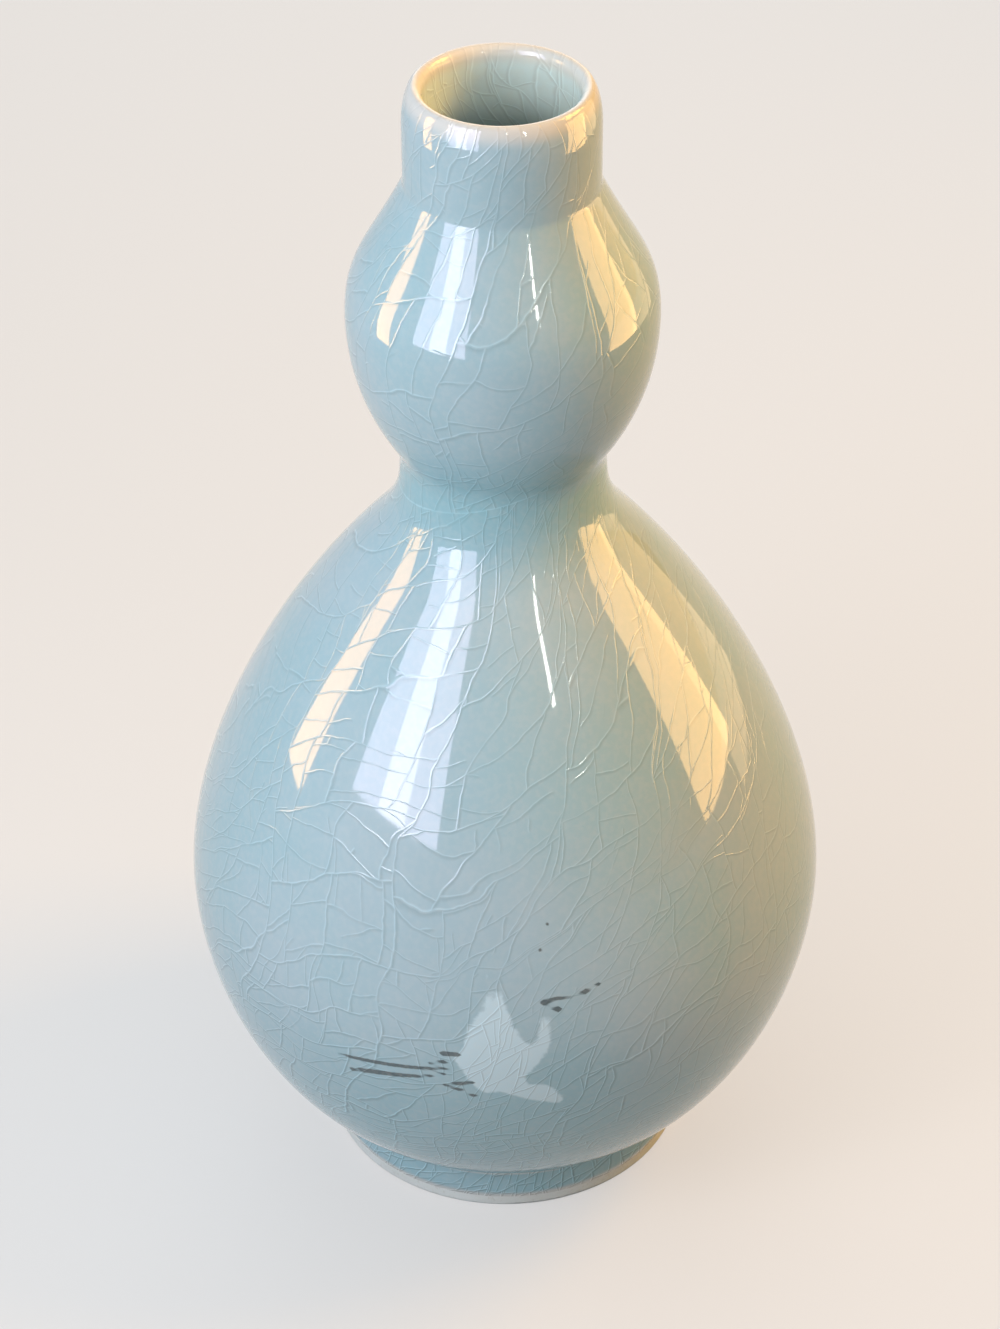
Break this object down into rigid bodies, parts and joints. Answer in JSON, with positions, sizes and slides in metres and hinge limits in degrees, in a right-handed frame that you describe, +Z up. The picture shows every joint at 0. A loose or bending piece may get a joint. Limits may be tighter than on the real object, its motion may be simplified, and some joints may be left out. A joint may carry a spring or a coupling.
{
  "type": "double gourd vase",
  "caption": "Glazed stoneware double gourd vase with a short neck, a rounded lip, a foot ring and a flying crane inlaid in slip on the lower bulb.",
  "frame": {"origin": "centre of the foot ring's underside, on the surface that the vase stands on", "axes": "+Z up along the axis of the vase, -Y towards the front with the crane, +X to the right of the front"},
  "size_m": [0.106, 0.106, 0.2],
  "materials": {
    "stoneware": "fired grey stoneware, bare only at the foot rim",
    "luting_slip": "fired slip that joins the thrown sections",
    "celadon_glaze": "glossy pale blue-green celadon glaze with a network of fine cracks",
    "white_slip": "white slip inlay under the glaze",
    "black_slip": "iron-black slip inlay under the glaze"
  },
  "bodies": {
    "root": {"foot_ring": "stoneware", "lower_lobe": "stoneware", "upper_lobe": "stoneware", "neck_collar": "stoneware", "foot_luting_slip": "luting_slip", "waist_luting_slip": "luting_slip", "neck_luting_slip": "luting_slip", "outer_glaze": "celadon_glaze", "inner_glaze": "celadon_glaze", "base_glaze": "celadon_glaze", "crane_body_inlay": "white_slip", "plume_inlay": "white_slip", "upper_leg_inlay": "black_slip", "lower_leg_inlay": "black_slip", "upper_tail_feather_inlay": "black_slip", "middle_tail_feather_inlay": "black_slip", "lower_tail_feather_inlay": "black_slip", "under_tail_feather_inlay": "black_slip", "last_tail_feather_inlay": "black_slip", "crown_inlay": "black_slip", "cheek_inlay": "black_slip", "beak_inlay": "black_slip"}
  },
  "joints": []
}
